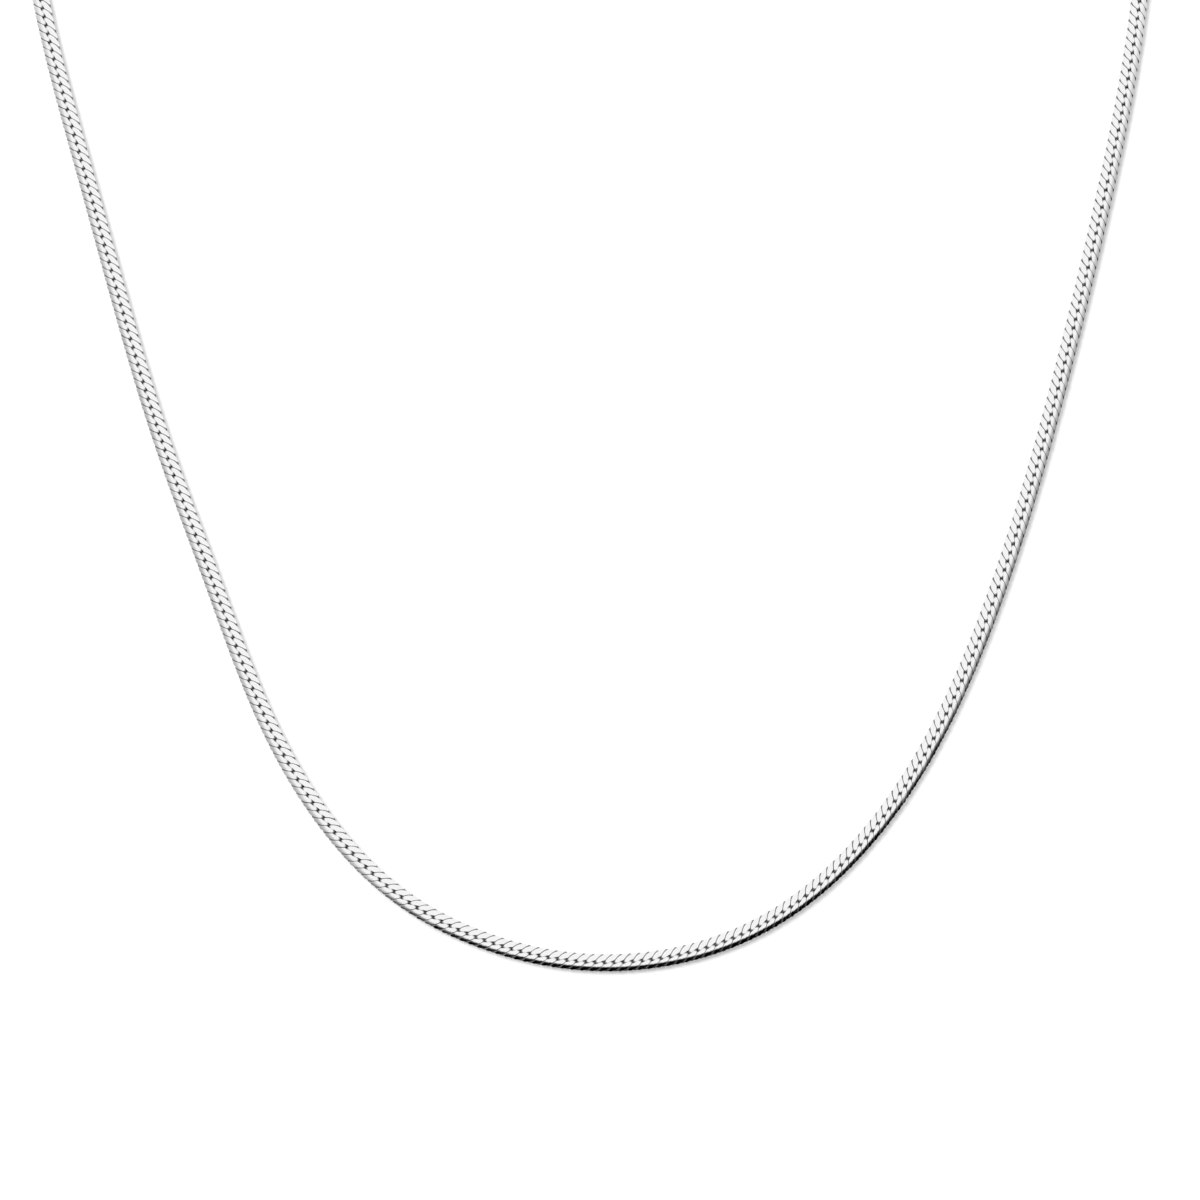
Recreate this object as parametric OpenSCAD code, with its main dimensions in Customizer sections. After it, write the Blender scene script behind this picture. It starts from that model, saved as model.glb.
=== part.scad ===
// A fine curb chain necklace, fastened, lying on a flat surface.
// The surface is z = 0. The origin is the middle of the loop, the clasp is towards +Y and the
// lowest point of the front is towards -Y.

/* [Chain] */
// Width of the chain across both rows of links
chain_w = 2; // [1.6:0.1:2.4]
// Thickness of the chain from back to front
chain_t = 1.1; // [0.9:0.05:1.3]
// Length of the fastened necklace once round the loop, clasp included
necklace_len = 500; // [400:10:600]

/* [Jump rings] */
// Wire diameter of the two jump rings
jump_wire = 0.5; // [0.4:0.05:0.6]
// Inside diameter of the two jump rings
jump_bore = 2; // [2:0.1:2.4]

/* [Clasp] */
// Outside diameter of the clasp's round body
clasp_d = 5.6; // [5:0.2:7]
// Diameter of the tube that the body is bent from
clasp_tube = 1; // [0.8:0.1:1]
// Inside diameter of the eye on the clasp's end
eye_bore = 1.4; // [1.4:0.1:1.8]
// Wire diameter of the eye
eye_wire = 0.6; // [0.5:0.05:0.7]

/* [Hidden] */
$fn = 48;

// Play of two rings that hook into each other: how far they stand in from touching in line
PLAY = 0.35;
// Room below the jump rings' lowest points
FLOOR_ROOM = 0.05;
// The chain's solid stops this short of the rings that its last links hook
TUBE_ROOM = 0.1;

// Control points of the loop, from behind the clasp down the left side, round the front and
// back up the right side. The chain's middle line is the smooth closed curve that they pull.
ROUTE = [
    [0, 94], [-22.5, 90], [-42.5, 78.5], [-57.5, 61], [-65, 39], [-65.15, 20.5],
    [-57.75, -4], [-49.75, -33], [-42.7, -50.5], [-36.6, -68], [-28.05, -81.55], [-17.5, -90.5],
    [-1, -95.5], [15.5, -93], [28, -84.5], [38.05, -71], [45.55, -53.5], [51.55, -34.5],
    [57.55, -11.5], [63.55, 15], [65, 39], [57.5, 61], [42.5, 78.5], [22.5, 90]
];
// Steps that each stretch between two control points is cut into when it is measured
ROUTE_STEPS = 16;

// Rings of the swept tube, and the share of each half size that its flats take
TUBE_RINGS = 78;
FLAT_W = 0.6;
FLAT_T = 0.45;
// Each end of the chain rises to its jump ring over this length
RISE_LEN = 12;

// A jump ring leans as the next link would, with its lowest point just clear of the surface
JUMP_LEAN = 45;
jump_r = (jump_bore + jump_wire) / 2;
ring_z = jump_r * sin(JUMP_LEAN) + jump_wire / 2 + FLOOR_ROOM;

// The clasp's body and eye overlap by this much where they are soldered
SOLDER = 0.6;
clasp_r = (clasp_d - clasp_tube) / 2;
eye_r = (eye_bore + eye_wire) / 2;
eye_step = clasp_r + eye_r + (clasp_tube + eye_wire) / 2 - SOLDER;
// Knob that slides the clasp open, in place round the body and fixed
KNOB_D = 0.6;
KNOB_OUT = 0.6;
KNOB_AT = 110;

// The hooked pieces in a row: steps between their middles, and half the length of the row
end_step = clasp_r + jump_r - (clasp_tube + jump_wire) / 2 - PLAY;
link_step = eye_r + jump_r - (eye_wire + jump_wire) / 2 - PLAY;
row_half = (eye_step + link_step + end_step) / 2 + jump_r + jump_wire / 2;
clasp_x = row_half - jump_r - jump_wire / 2 - end_step;
// The row lies straight, a little inside the crown of the loop that its ends meet
ROW_IN = 0.15;

function pull(a, b, c, d, t) =
    ((1 - t)^3 * a + (3 * t^3 - 6 * t^2 + 4) * b + (-3 * t^3 + 3 * t^2 + 3 * t + 1) * c + t^3 * d) / 6;
function control(i) = ROUTE[(i + len(ROUTE)) % len(ROUTE)];
function running_sum(v) = [for (s = v[0], i = 0; i < len(v); i = i + 1, s = s + (i < len(v) ? v[i] : 0)) s];

drawn = [for (i = [0:len(ROUTE)], t = [0:1 / ROUTE_STEPS:1 - 0.5 / ROUTE_STEPS])
    if (i < len(ROUTE) || t == 0)
        pull(control(i - 1), control(i), control(i + 1), control(i + 2), t)];
marks = running_sum([for (i = [0:len(drawn) - 1]) i == 0 ? 0 : norm(drawn[i] - drawn[i - 1])]);
drawn_x = [for (i = [0:len(drawn) - 1]) [marks[i], drawn[i].x]];
drawn_y = [for (i = [0:len(drawn) - 1]) [marks[i], drawn[i].y]];
loop_k = necklace_len / marks[len(marks) - 1];

// Point of the middle line at length s from the crown, and the unit direction there
function along(s) = loop_k * [lookup(s / loop_k, drawn_x), lookup(s / loop_k, drawn_y)];
function unit(v) = v / norm(v);
function heading(s) = unit(along(s + 0.5) - along(s - 0.5));

crown_y = along(0).y - ROW_IN;
tube_start = row_half + TUBE_ROOM;
tube_end = necklace_len - tube_start;
function rise(s) =
    (ring_z - chain_t / 2) * max(0, 1 - min(s - tube_start, tube_end - s) / RISE_LEN)^2;

tube_section = [for (q = [[1, -FLAT_T], [1, FLAT_T], [FLAT_W, 1], [-FLAT_W, 1],
                          [-1, FLAT_T], [-1, -FLAT_T], [-FLAT_W, -1], [FLAT_W, -1]])
    [q.x * chain_w / 2, q.y * chain_t / 2]];

// One ring of the tube: its section stood across the direction of travel at s
function tube_ring(s) = let (p = along(s), h = heading(s)) [for (q = tube_section)
    [p.x - h.y * q.x, p.y + h.x * q.x, q.y + chain_t / 2 + rise(s)]];

module swept(rings) {
    sides = len(rings[0]);
    last = (len(rings) - 1) * sides;
    polyhedron(
        points = [for (r = rings, p = r) p],
        faces = concat(
            [[for (j = [0:sides - 1]) j]],
            [for (i = [0:len(rings) - 2], j = [0:sides - 1], half = [0, 1])
                let (a = i * sides + j, b = i * sides + (j + 1) % sides)
                half == 0 ? [a, a + sides, b] : [b, a + sides, b + sides]],
            [[for (j = [sides - 1:-1:0]) last + j]]));
}

module wire_ring(mid_r, wire) {
    rotate_extrude() translate([mid_r, 0]) circle(d = wire);
}

// The links lie so close that they are one solid of the chain's outer form
module chain() {
    color("silver")
        swept([for (i = [0:TUBE_RINGS - 1])
            tube_ring(tube_start + i * (tube_end - tube_start) / (TUBE_RINGS - 1))]);
}

// Round clasp with its eye soldered on, held by its two jump rings above the surface
module clasp() {
    color("gainsboro") translate([clasp_x, crown_y, ring_z]) {
        wire_ring(clasp_r, clasp_tube);
        translate([-eye_step, 0, 0]) wire_ring(eye_r, eye_wire);
        rotate([0, 0, KNOB_AT]) translate([clasp_r, 0, 0]) rotate([0, 90, 0])
            cylinder(d = KNOB_D, h = clasp_tube / 2 + KNOB_OUT);
    }
}

module jump_ring(x, lean) {
    color("silver") translate([x, crown_y, ring_z]) rotate([lean, 0, 0]) wire_ring(jump_r, jump_wire);
}

// Joins the clasp's eye to the chain's first link
module clasp_ring() {
    jump_ring(clasp_x - eye_step - link_step, JUMP_LEAN);
}

// Closes the chain's last link, and the clasp hooks into it
module end_ring() {
    jump_ring(clasp_x + end_step, -JUMP_LEAN);
}

chain();
clasp();
clasp_ring();
end_ring();
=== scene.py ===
# %% [markdown]
# # A curb chain necklace, link by link
# The part is a fine silver neck chain, fastened and laid on a pale surface as one closed loop. The packed
# CAD model holds the chain as one plain tube, with its clasp and two jump rings. Here each of the chain's
# links is made, and every metal surface gets its finish. The chain is a double curb: each link passes
# through the next two links on either side, which packs them tightly. All lengths are worked out in
# millimetres, the unit that a chain maker uses, and are turned into metres when a mesh is made.

# %% Start from the fixed frame
import math
import bpy
import numpy as np
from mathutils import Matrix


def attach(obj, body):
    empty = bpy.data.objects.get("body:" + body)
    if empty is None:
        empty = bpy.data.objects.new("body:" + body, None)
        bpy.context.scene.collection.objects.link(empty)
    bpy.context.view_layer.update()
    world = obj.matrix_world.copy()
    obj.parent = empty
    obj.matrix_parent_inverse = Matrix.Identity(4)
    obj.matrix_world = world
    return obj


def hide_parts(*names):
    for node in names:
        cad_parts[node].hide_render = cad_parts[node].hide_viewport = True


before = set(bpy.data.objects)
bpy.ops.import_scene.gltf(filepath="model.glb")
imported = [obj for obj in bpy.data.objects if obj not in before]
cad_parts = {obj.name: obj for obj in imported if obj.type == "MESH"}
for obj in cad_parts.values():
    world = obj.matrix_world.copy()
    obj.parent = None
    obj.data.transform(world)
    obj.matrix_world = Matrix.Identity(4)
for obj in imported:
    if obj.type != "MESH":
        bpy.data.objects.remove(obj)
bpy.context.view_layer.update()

MM = 0.001

# %% [markdown]
# ## The camera
# The photo looks down at the front of the chain from a steep angle, about 80 degrees above the surface, and
# both strands leave through the top of the picture. A long lens keeps the links nearly the same size from
# front to back, so the camera stands almost half a metre away with a narrow view.

# %% Camera
TILT = math.radians(10.3)      # how far the camera leans back from looking straight down
LOOK_AT = (1.0, -53.6, 0.55)
DISTANCE = 476.2
PICTURE_WIDE = 1200            # width of the photo, in its own pixels
FOCAL_PIXELS = 4249            # focal length in the same pixels
SENSOR_WIDE = 36

lens = bpy.data.cameras.new("camera")
lens.sensor_width = SENSOR_WIDE
lens.lens = SENSOR_WIDE * FOCAL_PIXELS / PICTURE_WIDE
lens.clip_start = 0.01
camera = bpy.data.objects.new("camera", lens)
bpy.context.collection.objects.link(camera)
camera.location = (LOOK_AT[0] * MM, (LOOK_AT[1] - DISTANCE * math.sin(TILT)) * MM,
                   (LOOK_AT[2] + DISTANCE * math.cos(TILT)) * MM)
camera.rotation_euler = (TILT, 0, 0)
bpy.context.scene.camera = camera
print("lens, mm:", round(lens.lens, 1), "height above the surface, mm:", round(camera.location.z / MM, 1))

# %% [markdown]
# ## Writing shader maths as expressions
# Finishes are built from nodes. A small class wraps one socket, so that `1 - mask * 0.5` adds the Math nodes
# by itself, and a second class adds any other node in one call. The finishes below then read like formulas.

# %% Helpers for nodes
class Sock:
    """One output socket. Sums, differences, products, quotients and powers of it add Math nodes."""

    def __init__(self, sheet, out):
        self.sheet, self.out = sheet, out

    def math(self, operation, first, second):
        return self.sheet.add("ShaderNodeMath", {"operation": operation}, {0: first, 1: second})

    def __add__(self, other):
        return self.math("ADD", self, other)

    def __sub__(self, other):
        return self.math("SUBTRACT", self, other)

    def __rsub__(self, other):
        return self.math("SUBTRACT", other, self)

    def __mul__(self, other):
        return self.math("MULTIPLY", self, other)

    def __truediv__(self, other):
        return self.math("DIVIDE", self, other)

    def __pow__(self, other):
        return self.math("POWER", self, other)

    __radd__ = __add__
    __rmul__ = __mul__


class Sheet:
    """The node tree of one material or world."""

    def __init__(self, owner):
        owner.use_nodes = True
        self.tree = owner.node_tree
        self.tree.nodes.clear()

    def add(self, kind, settings=None, inputs=None, out=0):
        """A node of this type with its settings and inputs filled in; returns one of its outputs."""
        node = self.tree.nodes.new(kind)
        for name, value in (settings or {}).items():
            setattr(node, name, value)
        for name, value in (inputs or {}).items():
            if isinstance(value, Sock):
                self.tree.links.new(value.out, node.inputs[name])
            else:
                node.inputs[name].default_value = value
        return Sock(self, node.outputs[out]) if node.outputs else None

    def smooth(self, value, low, high):
        """0 below low, 1 above high, and an even S between them."""
        return self.add("ShaderNodeMapRange", {"interpolation_type": "SMOOTHSTEP"},
                        {"Value": value, "From Min": low, "From Max": high})

    def mix(self, factor, first, second):
        """The first colour where the factor is 0, the second where it is 1."""
        return self.add("ShaderNodeMix", {"data_type": "RGBA"}, {0: factor, 6: first, 7: second}, out=2)

    def axes(self, vector):
        """The three parts of a vector."""
        node = self.add("ShaderNodeSeparateXYZ", None, {0: vector}).out.node
        return [Sock(self, out) for out in node.outputs]

    def noise(self, scale, detail=2.0, stretch=(1, 1, 1)):
        """Cloudy values round 0.5, at this many cells a metre on Object coordinates."""
        place = self.add("ShaderNodeTexCoord", out=3)
        place = self.add("ShaderNodeVectorMath", {"operation": "MULTIPLY"}, {0: place, 1: stretch})
        return self.add("ShaderNodeTexNoise", None, {"Vector": place, "Scale": scale, "Detail": detail})


def new_material(name):
    material = bpy.data.materials.new(name)
    return material, Sheet(material)


# %% [markdown]
# ## Polished silver
# The faces of the links are cut and polished, so they mirror the white room. Below the cut the wheel never
# reaches: the metal there is rougher, and shade is painted into its colour, grey in the lines between links
# and darker deep down, a painted shade with some tarnished metal in it. Each link vertex carries two
# attributes for this. `place` is where the vertex is in its own link, in millimetres, from which the finish
# works out how far it lies below the cut faces. `recess` is the share of the view from it that other wire
# blocks. Painted grey shade goes where a point is both below the cut and hidden, and on the uncut flanks of
# the wire at the chain's sides. Along the middle of the chain the painted shade is lighter, since light falls
# straight in.
# Cloudy noise changes the colour and the roughness a little, and very faint polishing lines go into the
# normal.
#
# The same two curves, the crown and the shoulder, shape the links further down, so they are kept here once.

# %% Silver of the links
CROWN, CROWN_DROP = 0.55, 0.08          # height of the cut crown, and its fall with y squared
SHOULDER = (0.775, 0.62, 0.10)          # height of the cut shoulder, its fall with y, and with y squared
MIDDLE_ENDS, ROWS_START = 0.12, 0.32    # between these the finish goes over from the middle to the rows

SILVER = (0.93, 0.93, 0.935, 1)
SILVER_CLOUD = (0.90, 0.90, 0.905, 1)
# painted shade: grey for the lines between links and the wire's uncut flanks, lighter along the middle where
# light falls in
MIDDLE_PAINTED_SHADE, ROW_PAINTED_SHADE = (0.72, 0.72, 0.725, 1), (0.20, 0.20, 0.203, 1)
# painted deep shade, with some tarnished metal, lighter along the middle where light falls in
MIDDLE_DEEP_SHADE_AND_TARNISH, ROW_DEEP_SHADE_AND_TARNISH = (0.68, 0.68, 0.685, 1), (0.15, 0.15, 0.153, 1)


def silver(name, with_painted_shade):
    """Polished silver; with painted shade on, rougher below the cut faces of a link, where grey shade is
    painted into its colour.
    """
    material, sheet = new_material(name)
    cloud = sheet.noise(900.0, 3.0)
    lines = sheet.noise(2600.0, 2.0, (1.0, 0.25, 1.0))
    bright = sheet.mix(cloud, SILVER, SILVER_CLOUD)
    rough = 0.07 + cloud * 0.06
    if with_painted_shade:
        hidden = sheet.add("ShaderNodeAttribute", {"attribute_name": "recess"}, out=2)
        x, y, z = sheet.axes(sheet.add("ShaderNodeAttribute", {"attribute_name": "place"}, out=1))
        side = y.math("ABSOLUTE", y, 0)
        shoulder = SHOULDER[0] - side * (side * SHOULDER[2] + SHOULDER[1])
        cut = y.math("MINIMUM", CROWN - y * y * CROWN_DROP, shoulder)
        depth = cut - z.math("ABSOLUTE", z, 0)
        # painted shade on the wire's uncut flanks at the chain's sides
        painted_waist_shade = sheet.smooth(depth, 0.03, 0.10) * sheet.smooth(side, 0.60, 0.80)
        # painted shade in the lines below the cut, where other wire hides the point
        painted_groove_shade = sheet.smooth(depth, -0.015, 0.02) * sheet.smooth(hidden, 0.04, 0.20)
        # painted deep shade, with some tarnished metal, where a point lies far below the cut and is well
        # hidden
        deep_shade_and_tarnish = sheet.smooth(depth, 0.20, 0.45) * sheet.smooth(hidden, 0.45, 0.80)
        # painted light: the painted shade is lighter along the middle of the chain, where light falls
        # straight in
        in_row = sheet.smooth(side, MIDDLE_ENDS, ROWS_START)
        shade = sheet.mix(in_row, MIDDLE_PAINTED_SHADE, ROW_PAINTED_SHADE)
        deep = sheet.mix(in_row, MIDDLE_DEEP_SHADE_AND_TARNISH, ROW_DEEP_SHADE_AND_TARNISH)
        bright = sheet.mix(y.math("MAXIMUM", painted_groove_shade, painted_waist_shade), bright, shade)
        bright = sheet.mix(deep_shade_and_tarnish, bright, deep)
        rough = rough + deep_shade_and_tarnish * 0.20 + painted_groove_shade * (1 - in_row) * 0.40
    bump = sheet.add("ShaderNodeBump", None, {"Height": lines, "Strength": 0.04, "Distance": 0.00001})
    surface = sheet.add("ShaderNodeBsdfPrincipled", None,
                        {"Base Color": bright, "Metallic": 1.0, "Roughness": rough, "Normal": bump})
    sheet.add("ShaderNodeOutputMaterial", None, {"Surface": surface})
    return material


link_silver = silver("polished_link_silver_painted_shade", True)
fitting_silver = silver("polished_fitting_silver", False)
print("finishes:", link_silver.name, fitting_silver.name)

# %% [markdown]
# ## The route of the chain
# A chain lies in easy bends because every link turns only a little on the next. Twenty-four points pull one
# smooth closed curve, the same points as in the CAD source, and the links are set out along it by true
# length. The length starts behind the clasp and runs down the left strand, round the front and up the right
# strand.

# %% Route
CONTROL = np.array([
    [0, 94], [-22.5, 90], [-42.5, 78.5], [-57.5, 61], [-65, 39], [-65.15, 20.5],
    [-57.75, -4], [-49.75, -33], [-42.7, -50.5], [-36.6, -68], [-28.05, -81.55], [-17.5, -90.5],
    [-1, -95.5], [15.5, -93], [28, -84.5], [38.05, -71], [45.55, -53.5], [51.55, -34.5],
    [57.55, -11.5], [63.55, 15], [65, 39], [57.5, 61], [42.5, 78.5], [22.5, 90]])
ROUTE_LENGTH = 500.0
CHAIN_THICK = 1.1
RING_Z = 1.184          # height of the middles of the clasp and the jump rings
TUBE_START = 5.25       # where the CAD's tube starts along the route, and ends before its end
RISE_LENGTH = 12.0      # the chain rises to the jump rings over this length


def smooth_loop(control, steps=64):
    """Each stretch is the cubic mean of four control points, with weights (1-t)^3, 3t^3-6t^2+4,
    -3t^3+3t^2+3t+1 and t^3, all over six."""
    t = np.arange(steps)[None, :, None] / steps
    a, b, c, d = (np.roll(control, k, axis=0)[:, None, :] for k in (1, 0, -1, -2))
    points = ((1 - t) ** 3 * a + (3 * t ** 3 - 6 * t ** 2 + 4) * b
              + (-3 * t ** 3 + 3 * t ** 2 + 3 * t + 1) * c + t ** 3 * d) / 6
    points = points.reshape(-1, 2)
    return np.vstack([points, points[:1]])


loop = smooth_loop(CONTROL)
marks = np.concatenate([[0], np.cumsum(np.linalg.norm(np.diff(loop, axis=0), axis=1))])
loop, marks = loop * ROUTE_LENGTH / marks[-1], marks * ROUTE_LENGTH / marks[-1]


def middle_line(s):
    """Point at length s: the loop's x and y there, and half the chain's thickness, plus a rise to the
    jump rings that grows with the square of the way into the last 12 mm at each end."""
    in_from_end = np.minimum(s - TUBE_START, ROUTE_LENGTH - TUBE_START - s)
    into = np.clip(1 - in_from_end / RISE_LENGTH, 0, None)
    half = CHAIN_THICK / 2
    return np.stack([np.interp(s, marks, loop[:, 0]), np.interp(s, marks, loop[:, 1]),
                     half + (RING_Z - half) * into ** 2], axis=-1)


print("loop length, mm:", round(float(marks[-1]), 3), "front, mm:", middle_line(np.array(250.0)).round(2))

# %% [markdown]
# ## One link
# A link starts as a plain oval ring of wire. It is twisted about the chain's length, so that one end leans
# one way and the other end the other way, and two links from each side can pass through it. Then the chain is
# pressed, which holds the wire's height and spreads it inwards where it lies on top. What still stands proud
# is cut away to a nearly flat crown with a sloping shoulder on each side. That gives the broad slanting
# leaves, two to a link, that nearly close over each other.
#
# The ring could be a curve with a bevel, pressed by modifiers, but a formula gives every point at once and
# the sizes stay exact. The links then sit as close as real ones do, and one small mesh serves for all.

# %% Shape of a link
PITCH = 1.04
WIRE_END = 0.235        # half the wire's width at the two ends of the link
WIRE_OUT = 0.29         # along the sides, from the wire's middle outwards
WIRE_IN = 0.16          # and inwards
SPREAD = 0.24           # what the press adds inwards, halfway to each end
SPREAD_AT, SPREAD_LONG = 0.47, 0.17
LIP, LIP_AT, LIP_LONG = 0.20, 0.72, 0.18    # and what it adds nearer the ends, where the face is seen
WIRE_FLAT = 0.215       # half the wire's thickness
FLAT_END = 0.15         # and at the two ends, where two links hook
PROUD = 0.10            # what stands above that before the faces are cut
SECTION = 2.6           # squareness of the wire's section, where 2 is an ellipse
HALF_LONG = PITCH + WIRE_END + 0.01    # of the wire's middle line, along the chain
HALF_WIDE = 0.70                       # and across it
OVAL = 4.2              # squareness of the link's outline
TWIST = math.radians(80)
PLATEAU = 0.34          # the press holds the wire's middle below this height
PRESS_SOFT = 0.10       # rounding where the wire's middle meets the plateau, and of the shoulder's corner
CUT_SOFT = 0.03         # rounding of the corner round each cut face
BEND_WEIGHT = 0.15      # a radian of bend counts as this much more wire when the points are spaced


def soft_min(a, b, soft):
    """The lesser of two values, with a rounded corner of this size where they meet."""
    return 0.5 * (a + b - np.sqrt((a - b) ** 2 + soft ** 2))


def swollen(angle, power):
    """Cosine and sine of the angle, each raised to 2 / power with its sign kept: a squarer oval."""
    c, s = np.cos(angle), np.sin(angle)
    return np.sign(c) * np.abs(c) ** (2 / power), np.sign(s) * np.abs(s) ** (2 / power)


def wire_middle(u):
    """Middle line of the wire: half-length times c along the chain, and half-width times s across it,
    turned about the chain's length by minus the twist times c, with its height held under the plateau."""
    c, s = swollen(u, OVAL)
    lean = -TWIST * c
    height = HALF_WIDE * s * np.sin(lean)
    height = -soft_min(-soft_min(height, PLATEAU, PRESS_SOFT), PLATEAU, PRESS_SOFT)
    return np.stack([HALF_LONG * c, HALF_WIDE * s * np.cos(lean), height], axis=-1)


def even_angles(count):
    """Angles at equal steps along the wire's middle line, where each radian that it turns counts as a little
    more length, so that the steps are shorter in the tight bends at the two ends."""
    u = np.linspace(0, 2 * np.pi, 4001)
    step = np.diff(wire_middle(u), axis=0)
    length = np.linalg.norm(step, axis=1)
    ahead = step / length[:, None]
    turn = np.linalg.norm(np.roll(ahead, -1, axis=0) - ahead, axis=1)
    run = np.concatenate([[0], np.cumsum(length + BEND_WEIGHT * turn)])
    return np.interp((np.arange(count) + 0.5) * run[-1] / count, run, u)


def link_points(around, across):
    """Points of one link: the wire's middle line plus an oval section that is wide in the level direction
    across the wire and thinner at the ends. Inwards it is wider by a bell of the share of the way to each
    end, where the press spreads it. The side that faces out of the chain is thicker, and has a second such
    bell as a lip. Then each height is held under a crown that drops with the square of y, and under a
    shoulder that slopes down to each side, with rounded corners. The under side is held in the same way."""
    u = even_angles(around)
    v = (np.arange(across) + 0.5) * 2 * np.pi / across
    middle = wire_middle(u)
    along = wire_middle(u + 1e-4) - wire_middle(u - 1e-4)
    along /= np.linalg.norm(along, axis=1)[:, None]
    level = np.cross(along, [0, 0, 1.0])
    level /= np.linalg.norm(level, axis=1)[:, None]
    upper = np.cross(level, along)
    share = np.abs(middle[:, 0]) / HALF_LONG
    end = np.clip((share - 0.8) / 0.2, 0, 1) ** 2
    outer = WIRE_OUT + (WIRE_END - WIRE_OUT) * end
    spread = SPREAD * np.exp(-((share - SPREAD_AT) / SPREAD_LONG) ** 2)
    inner = WIRE_IN + (WIRE_END - WIRE_IN) * end + spread
    thick = WIRE_FLAT + (FLAT_END - WIRE_FLAT) * end
    c, s = swollen(v, SECTION)
    facing = np.clip(np.sign(s) * middle[:, 2:] / PLATEAU, 0, 1)
    lip = LIP * np.exp(-((share - LIP_AT) / LIP_LONG) ** 2)
    wide = np.where(c > 0, outer[:, None], inner[:, None] + lip[:, None] * facing * np.abs(s))
    points = (middle[:, None] + (wide * c)[:, :, None] * level[:, None]
              + ((thick[:, None] + PROUD * facing) * s)[:, :, None] * upper[:, None])
    y, z = points[..., 1], points[..., 2]
    shoulder = SHOULDER[0] - SHOULDER[1] * np.abs(y) - SHOULDER[2] * y ** 2
    top = soft_min(CROWN - CROWN_DROP * y ** 2, shoulder, PRESS_SOFT)
    points[..., 2] = -soft_min(-soft_min(z, top, CUT_SOFT), top, CUT_SOFT)
    return points


print("link, mm:", np.ptp(link_points(64, 32).reshape(-1, 3), axis=0).round(2))

# %% [markdown]
# ## Points and faces of a link
# A shape that repeats hundreds of times has to stay light. The link gets 36 rings of 12 points, closer
# together in the tight bends. Such a coarse mesh would blur the cut faces if its shading came from its own
# faces, so the points are every ninth of a finer grid, and each keeps the exact normal that the fine surface
# has there. Every face turned to the light then mirrors as a cut face does, and no modifier is needed.

# %% Faces of a link
def ring_faces(around, across, first=0):
    """Four-sided faces of a grid that closes on itself both ways."""
    i, j = np.meshgrid(np.arange(around), np.arange(across), indexing="ij")
    ni, nj = (i + 1) % around, (j + 1) % across
    corners = [i * across + j, ni * across + j, ni * across + nj, i * across + nj]
    return first + np.stack(corners, axis=-1).reshape(-1, 4)


def outward(points, faces):
    """The faces, turned over if the volume that they enclose comes out negative, and that volume."""
    a, b, c, d = (points[faces[:, k]] for k in range(4))
    volume = np.einsum("ij,ij->", a, np.cross(b, c)) + np.einsum("ij,ij->", a, np.cross(c, d))
    return (faces if volume > 0 else faces[:, ::-1]), abs(volume) / 6


def grid_normals(points):
    """Outward unit normals of a closed grid, square to the steps between a point's neighbours both ways."""
    lengthwise = np.roll(points, -1, 0) - np.roll(points, 1, 0)
    crosswise = np.roll(points, -1, 1) - np.roll(points, 1, 1)
    normal = np.cross(lengthwise, crosswise)
    normal /= np.linalg.norm(normal, axis=2)[:, :, None]
    return normal * np.sign(np.sum(normal * (points - points.mean(axis=1, keepdims=True))))


AROUND, ACROSS = 36, 12
FINER = 9
KEPT = slice(FINER // 2, None, FINER)
fine_grid = link_points(AROUND * FINER, ACROSS * FINER)
link = fine_grid[KEPT, KEPT].reshape(-1, 3)
link_normals = grid_normals(fine_grid)[KEPT, KEPT].reshape(-1, 3)
link_faces, _ = outward(link, ring_faces(AROUND, ACROSS))
_, link_volume = outward(fine_grid.reshape(-1, 3), ring_faces(AROUND * FINER, ACROSS * FINER))
print("faces in a link:", len(link_faces), "metal in a link, mm3:", round(float(link_volume), 3))

# %% [markdown]
# ## How hidden each point is
# Light and the polishing wheel reach the crowns of the links but hardly get down between them. The finish
# makes hidden points rougher and paints shade into their colour by how little reaches them. How much reaches
# a point can be counted: of all the directions in front of the point, the share that is stopped by the wire
# of this link or of its two neighbours on each side. The wire is taken as a row of balls, and every point,
# direction and ball is worked out in one array. Baked shadow maps would do the same, but this needs no image,
# and every link has the same neighbours, so one link's values serve for all.

# %% Recess of the link's points
BALLS, BALL_R = 60, 0.20      # balls in a link's wire, and their radius
OWN_WIRE = 0.30               # a ball nearer than this is the wire that the point is on
DIRECTIONS = 160


def even_directions(count):
    """Unit vectors spread evenly over a ball: z in equal steps, the azimuth turning by the golden angle."""
    k = np.arange(count) + 0.5
    z = 1 - 2 * k / count
    turn = k * np.pi * (3 - math.sqrt(5))
    level = np.sqrt(1 - z ** 2)
    return np.stack([level * np.cos(turn), level * np.sin(turn), z], axis=-1)


def recess_of(spots, normal):
    """Of the directions in front of each point, weighed by their cosine to its normal, the share in which a
    ball of the wire lies."""
    wire = wire_middle(even_angles(BALLS))
    balls = np.vstack([wire + [k * PITCH, 0, 0] for k in (-2, -1, 0, 1, 2)])
    ways = even_directions(DIRECTIONS)
    weight = np.clip(normal @ ways.T, 0, None)
    reach = balls[None] - spots[:, None]
    apart = np.sum(reach ** 2, axis=2)[:, :, None]
    ahead = reach @ ways.T
    stopped = (ahead > 0) & (apart - ahead ** 2 < BALL_R ** 2) & (apart > OWN_WIRE ** 2)
    return np.sum(weight * stopped.any(axis=1), axis=1) / np.sum(weight, axis=1)


link_recess = recess_of(link, link_normals)
print("recess from", round(float(link_recess.min()), 2), "to", round(float(link_recess.max()), 2))

# %% [markdown]
# ## Setting the links out
# Every link keeps one pitch from the last. Its middle goes on the route, its length along the route and its
# face up. The two end links hook the jump rings. No link on a real chain lies quite like its neighbour, so
# each is turned by a fraction of a degree, from a seeded random generator so that every run is the same.
# The chain is four joined meshes, split so that none of them is heavy. Each gets its exact normals and the
# two attributes that the finish reads.

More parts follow.
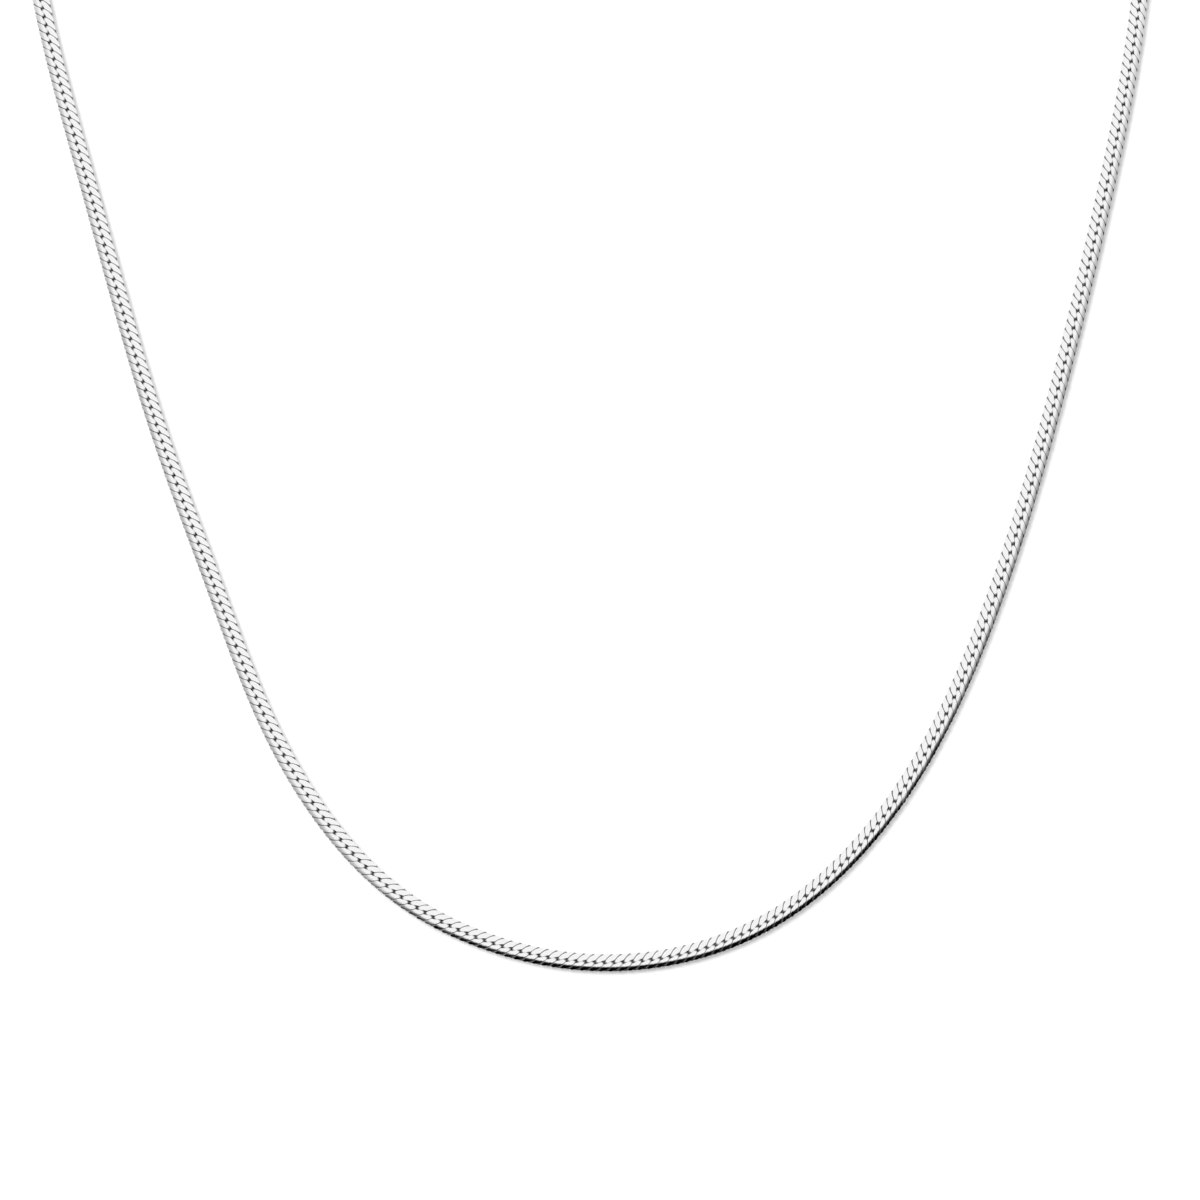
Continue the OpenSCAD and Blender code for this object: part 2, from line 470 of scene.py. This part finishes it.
# %% Places of the links
HOOK_AT = 4.65                                # where the end links' wire hooks a jump ring
UNEVEN = np.radians([0.7, 0.35, 0.35])        # how much links are rolled, nodded and turned
first_s = HOOK_AT - WIRE_END + HALF_LONG
count = int(round((ROUTE_LENGTH - 2 * first_s) / PITCH)) + 1
places = np.linspace(first_s, ROUTE_LENGTH - first_s, count)
print("links:", count, "pitch, mm:", round(float(places[1] - places[0]), 4))

middle = middle_line(places)
forward = middle_line(places + 0.5) - middle_line(places - 0.5)
forward /= np.linalg.norm(forward, axis=1)[:, None]
inner = np.cross([0, 0, 1.0], forward)
inner /= np.linalg.norm(inner, axis=1)[:, None]
up = np.cross(forward, inner)
frames = np.stack([forward, inner, up], axis=1)

lay = np.random.default_rng(11).normal(0, 1, (count, 3)) * UNEVEN
roll, nod, yaw = lay.T
one = np.ones(count)
small_turn = np.stack([np.stack([one, yaw, -nod], 1), np.stack([-yaw, one, roll], 1),
                       np.stack([nod, -roll, one], 1)], axis=1)
frames = small_turn @ frames
frames /= np.linalg.norm(frames, axis=2)[:, :, None]


# %% Meshes of the links
def new_piece(name, points, faces, material, body="root"):
    """A mesh object at the origin from points in millimetres, smooth shaded, with its finish."""
    mesh = bpy.data.meshes.new(name)
    mesh.from_pydata((points * MM).tolist(), [], faces.tolist())
    mesh.polygons.foreach_set("use_smooth", np.ones(len(faces), dtype=bool))
    mesh.update()
    mesh.materials.append(material)
    piece = bpy.data.objects.new(name, mesh)
    bpy.context.collection.objects.link(piece)
    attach(piece, body)
    return piece


PARTS = ["links_left_back", "links_left_front", "links_right_front", "links_right_back"]
for name, batch in zip(PARTS, np.array_split(np.arange(count), len(PARTS))):
    points = middle[batch][:, None] + np.einsum("pk,nkj->npj", link, frames[batch])
    faces = link_faces[None] + (np.arange(len(batch)) * len(link))[:, None, None]
    piece = new_piece(name, points.reshape(-1, 3), faces.reshape(-1, 4), link_silver)
    normals = np.einsum("pk,nkj->npj", link_normals, frames[batch])
    piece.data.normals_split_custom_set_from_vertices(normals.reshape(-1, 3).tolist())
    recess = piece.data.attributes.new("recess", "FLOAT", "POINT")
    recess.data.foreach_set("value", np.tile(link_recess, len(batch)).astype(np.float32))
    place = piece.data.attributes.new("place", "FLOAT_VECTOR", "POINT")
    place.data.foreach_set("vector", np.tile(link.reshape(-1), len(batch)).astype(np.float32))
    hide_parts("chain")
    print(name, "links", len(batch), "faces", len(piece.data.polygons))

# %% [markdown]
# ## Jump rings and clasp
# These lie behind, out of the photo. Each jump ring is a turn of round wire whose ends meet in a soldered
# joint, seen as a faint swelling with a fine line in it. The clasp is a hollow ring: a thinner tongue closes
# its opening, a slot in its outer side lets the knob slide, and a small eye is soldered on for the chain. All
# are rings of a changing round section, so one formula makes them.

# %% Rings of wire
def torus(radius, section, around, across):
    """Points at angle u round the ring and v round its section: (radius + r cos v) outwards and r sin v up,
    where r is the section's radius at u and v."""
    u = np.arange(around)[:, None] * 2 * np.pi / around
    v = np.arange(across)[None, :] * 2 * np.pi / across
    r = section(u, v)
    out = radius + r * np.cos(v)
    return np.stack([out * np.cos(u), out * np.sin(u), r * np.sin(v) + 0 * out], axis=-1)


def bump_at(u, centre, width):
    """1 at the centre angle, falling to 0 as a bell of this width, measured the short way round."""
    away = (u - centre + np.pi) % (2 * np.pi) - np.pi
    return np.exp(-(away / width) ** 2)


def turned(points, lean):
    """Points turned about the x axis by this angle."""
    c, s = math.cos(lean), math.sin(lean)
    return points @ np.array([[1, 0, 0], [0, c, s], [0, -s, c]])


JUMP_R, JUMP_WIRE, JUMP_LEAN = 1.25, 0.25, math.radians(45)
JUMP_X = 3.65                                    # each ring's distance from the row's middle
JUMP_GRID = (72, 16)
ROW_Y = middle_line(np.array(0.0))[1] - 0.15     # the row lies a little inside the crown of the loop


def jump_section(joint):
    """The wire's radius, with a swelling at the joint's angle and a fine line in its middle."""
    return lambda u, v: JUMP_WIRE * (1 + 0.035 * bump_at(u, joint, 0.12)
                                     - 0.05 * bump_at(u, joint, 0.02)) + 0 * v


for name, x, lean, joint in (("jump_ring_by_eye", -JUMP_X, JUMP_LEAN, 0.5),
                             ("jump_ring_at_end", JUMP_X, -JUMP_LEAN, 2.6)):
    ring = torus(JUMP_R, jump_section(joint), *JUMP_GRID)
    ring = turned(ring.reshape(-1, 3), lean) + [x, ROW_Y, RING_Z]
    faces, _ = outward(ring - ring.mean(axis=0), ring_faces(*JUMP_GRID))
    piece = new_piece(name, ring, faces, fitting_silver)
    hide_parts("clasp_ring" if x < 0 else "end_ring")
    print(name, "faces", len(faces))

# %% [markdown]
# The clasp's tongue is the thinner stretch towards the end ring. The tube's two mouths have a small rolled
# collar. The knob is a turned pin with a round head, and its profile is carried round its own axis.

# %% Clasp
CLASP_X, CLASP_R, CLASP_TUBE = 1.2, 2.3, 0.5
EYE_X, EYE_R, EYE_WIRE = -2.3, 1.0, 0.3
TONGUE = (math.radians(-32), math.radians(38))    # angles of the two mouths
MOUTH_EDGE = 0.006                                # how sharp each mouth is, in radians
KNOB_AT = math.radians(110)
BODY_GRID, EYE_GRID, KNOB_AROUND = (240, 24), (60, 16), 24


def clasp_section(u, v):
    """Tube radius, less 0.14 along the tongue, plus a rolled collar at each mouth, less a shallow slot on
    the outer side beside the knob."""
    away = (u + np.pi) % (2 * np.pi) - np.pi
    past_first = 1 / (1 + np.exp(-(away - TONGUE[0]) / MOUTH_EDGE))
    past_second = 1 / (1 + np.exp(-(away - TONGUE[1]) / MOUTH_EDGE))
    inside = past_first - past_second
    collar = bump_at(u, TONGUE[0] - 0.05, 0.035) + bump_at(u, TONGUE[1] + 0.05, 0.035)
    slot = bump_at(u, KNOB_AT - 0.28, 0.22) * np.exp(-(np.sin(v / 2) / 0.13) ** 2)
    return CLASP_TUBE * (0.975 + 0 * v) - 0.14 * inside + 0.012 * collar - 0.07 * slot


def knob_points(around):
    """A profile of radius against height, turned about the x axis: a neck, then a round head."""
    height = np.array([0.30, 0.34, 0.56, 0.62, 0.70, 0.84, 0.98, 1.06, 1.095, 1.1])
    radius = np.array([0.001, 0.17, 0.16, 0.24, 0.285, 0.30, 0.265, 0.18, 0.08, 0.001])
    v = np.arange(around)[None, :] * 2 * np.pi / around
    radius = radius[:, None]
    return np.stack([height[:, None] + 0 * v, radius * np.cos(v), radius * np.sin(v)], axis=-1)


def open_faces(rows, around):
    """Four-sided faces of a grid that closes on itself round its axis only."""
    i, j = np.meshgrid(np.arange(rows - 1), np.arange(around), indexing="ij")
    nj = (j + 1) % around
    corners = [i * around + j, (i + 1) * around + j, (i + 1) * around + nj, i * around + nj]
    return np.stack(corners, axis=-1).reshape(-1, 4)


body = torus(CLASP_R, clasp_section, *BODY_GRID).reshape(-1, 3)
body_faces, _ = outward(body, ring_faces(*BODY_GRID))
eye = torus(EYE_R, lambda u, v: EYE_WIRE + 0 * u * v, *EYE_GRID).reshape(-1, 3)
eye_faces, _ = outward(eye, ring_faces(*EYE_GRID))
knob = knob_points(KNOB_AROUND)
knob_faces = open_faces(len(knob), KNOB_AROUND)
knob = knob.reshape(-1, 3)
knob_faces, _ = outward(knob - knob.mean(axis=0), knob_faces)
knob = knob + [CLASP_R, 0, 0]
c, s = math.cos(KNOB_AT), math.sin(KNOB_AT)
knob = knob @ np.array([[c, s, 0], [-s, c, 0], [0, 0, 1]])

points = np.vstack([body + [CLASP_X, 0, 0], eye + [EYE_X, 0, 0], knob + [CLASP_X, 0, 0]])
points = points + [0, ROW_Y, RING_Z]
faces = np.vstack([body_faces, eye_faces + len(body), knob_faces + len(body) + len(eye)])
clasp = new_piece("ring_clasp", points, faces, fitting_silver)
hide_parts("clasp")
print("clasp faces:", len(faces))

# %% [markdown]
# ## The surface under the chain
# The photo has a pure white ground with a soft grey shadow close to the chain. A large matt white plane does
# that, a hair below the links so that no face fights with it.

# %% Floor
floor_material, sheet = new_material("white_ground")
tooth = sheet.noise(350.0, 2.0)
paper = sheet.mix(tooth, (0.92, 0.92, 0.92, 1), (0.93, 0.93, 0.93, 1))
surface = sheet.add("ShaderNodeBsdfPrincipled", None,
                    {"Base Color": paper, "Roughness": 0.9, "Specular IOR Level": 0.0})
sheet.add("ShaderNodeOutputMaterial", None, {"Surface": surface})

HALF_GROUND, GROUND_Z = 2000.0, -0.01
signs = ((-1, -1), (1, -1), (1, 1), (-1, 1))
corners = np.array([[HALF_GROUND * p, HALF_GROUND * q, GROUND_Z] for p, q in signs])
floor = new_piece("white_ground", corners, np.array([[0, 1, 2, 3]]), floor_material)
print("ground, m:", 2 * HALF_GROUND * MM)

# %% [markdown]
# ## Light
# Silver has no colour of its own to speak of: it shows the room. The links' flat crowns mirror a white
# ceiling. Their sloping shoulders mirror what is low in the room: in the photo they are black round the
# front, grey up both strands, and light on the inner side. So the world is white by direction, with low
# walls that fade to grey everywhere but behind the clasp, and a dark place with soft edges low in front. A
# soft lamp from the upper left brings the ground to pure white and gives the shadow its side. It lights the
# ground only, as the silver would mirror it as hard specks. The camera sees plain white behind the ground.

# %% World and lamp
WHITE = 0.99
DARK_AT = math.radians(-76)            # where the middle of the dark place is, seen from above
DARK_WIDE, DARK_HIGH = 0.87, 0.52      # its extent round and up
DARK_INNER, DARK_OUTER = 0.55, 1.0     # its soft edge, as shares of that extent
WALL_TOP = math.sin(math.radians(48))
WALL_GREY, WALL_FRONT = 0.60, 0.22     # what the walls take from the white, and more of it in front

world = bpy.data.worlds.new("white_room")
bpy.context.scene.world = world
sheet = Sheet(world)
x, y, z = sheet.axes(sheet.add("ShaderNodeTexCoord", out=0))
level = (x * x + y * y) ** 0.5 + 0.0001
side = (x * math.cos(DARK_AT) + y * math.sin(DARK_AT)) / level
dark = 1 - sheet.smooth((1 - side) / DARK_WIDE + z * z / DARK_HIGH, DARK_INNER, DARK_OUTER)
low = 1 - sheet.smooth(z, 0.05, WALL_TOP)
grey = WALL_GREY + sheet.smooth(side, -0.10, 0.60) * WALL_FRONT
wall = low * sheet.smooth(y / level, 0.40, -0.10) * grey
room = (WHITE - wall) * (1 - dark)
seen = sheet.add("ShaderNodeLightPath", out=0)
glow = sheet.add("ShaderNodeBackground", None, {"Color": (1, 1, 1, 1), "Strength": room})
back = sheet.add("ShaderNodeBackground", None, {"Color": (1, 1, 1, 1), "Strength": 1.0})
both = sheet.add("ShaderNodeMixShader", None, {0: seen, 1: glow, 2: back})
sheet.add("ShaderNodeOutputWorld", None, {"Surface": both})

LAMP_AT, LAMP_SIZE, LAMP_WATTS = (-1.68, 0.88, 2.48), 2.0, 58

lamp = bpy.data.lights.new("soft_lamp", "AREA")
lamp.shape = "DISK"
lamp.size = LAMP_SIZE
lamp.energy = LAMP_WATTS
lamp_object = bpy.data.objects.new("soft_lamp", lamp)
bpy.context.collection.objects.link(lamp_object)
lamp_object.location = LAMP_AT
lamp_object.visible_glossy = False
lamp_object.rotation_euler = (lamp_object.location * -1).to_track_quat("-Z", "Y").to_euler()
bpy.context.scene.view_settings.view_transform = "Standard"
print("white level:", WHITE, "lamp, W:", lamp.energy)
